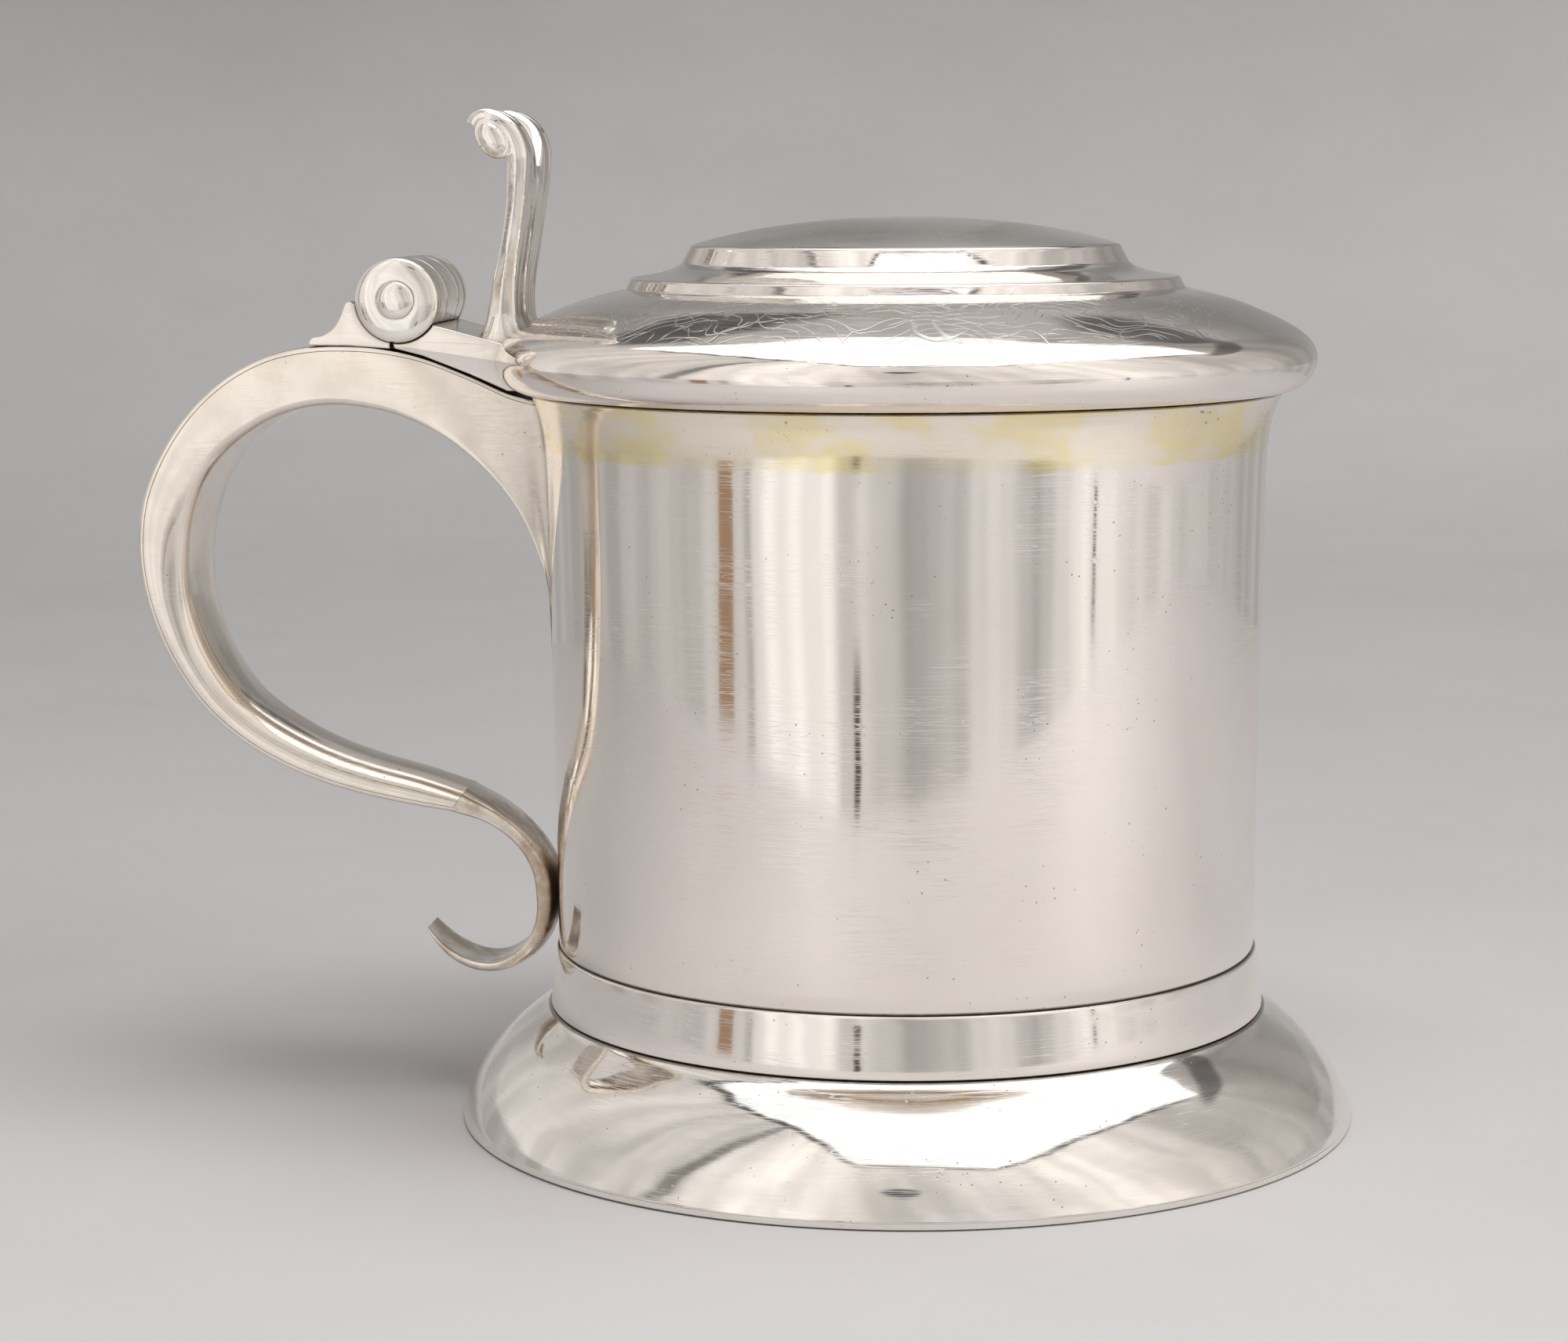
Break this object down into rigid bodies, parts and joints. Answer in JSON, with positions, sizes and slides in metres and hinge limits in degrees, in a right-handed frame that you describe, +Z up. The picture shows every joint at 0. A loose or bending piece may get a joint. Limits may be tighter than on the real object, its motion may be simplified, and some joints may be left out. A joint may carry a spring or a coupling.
{
  "type": "lidded tankard",
  "caption": "Cylindrical lidded tankard on a moulded foot, with a stepped domed lid, a forked thumbpiece, a barrel hinge and a hollow scroll handle.",
  "frame": {"origin": "on the surface the foot stands on, under the middle of the overall length (handle included)", "axes": "+Z up along the drum, -X towards the handle, +Y along the hinge pin; the drum's own axis is at X = +26.15 mm"},
  "size_m": [0.2012, 0.149, 0.1663],
  "materials": {
    "body_silver": "hand-polished silver with fine horizontal scratches and a worn pale gilt wash under the rim",
    "lid_silver": "hand-polished silver with light engraved foliage",
    "foot_silver": "hand-polished silver with fine pits",
    "handle_silver": "polished silver, slightly warm tarnish",
    "cast_silver": "satin cast silver, dark in the recesses",
    "tarnished_silver": "silver with brown tarnish",
    "inner_silver": "dull beaten silver",
    "gilt_silver": "worn gilding on silver"
  },
  "bodies": {
    "vessel": {"foot_wire": "foot_silver", "foot_moulding": "foot_silver", "base_band": "body_silver", "floor_disc": "inner_silver", "drum": "body_silver", "handle_channel": "handle_silver", "handle_strap": "handle_silver", "handle_tail": "tarnished_silver", "hinge_seat": "cast_silver", "handle_knuckle_front": "cast_silver", "handle_knuckle_rear": "cast_silver", "barrel_cap_front": "cast_silver", "barrel_cap_rear": "cast_silver", "hinge_pin": "cast_silver"},
    "lid": {"lid_shell": "lid_silver", "lid_bezel": "gilt_silver", "hinge_block": "cast_silver", "lid_knuckle": "cast_silver", "thumbpiece": "cast_silver"}
  },
  "joints": [
    {"name": "lid_hinge", "type": "hinge", "parent": "vessel", "child": "lid", "pos_m": [-0.05595, 0, 0.1358], "axis": [0, -1, 0], "range_deg": [0, 134]}
  ]
}
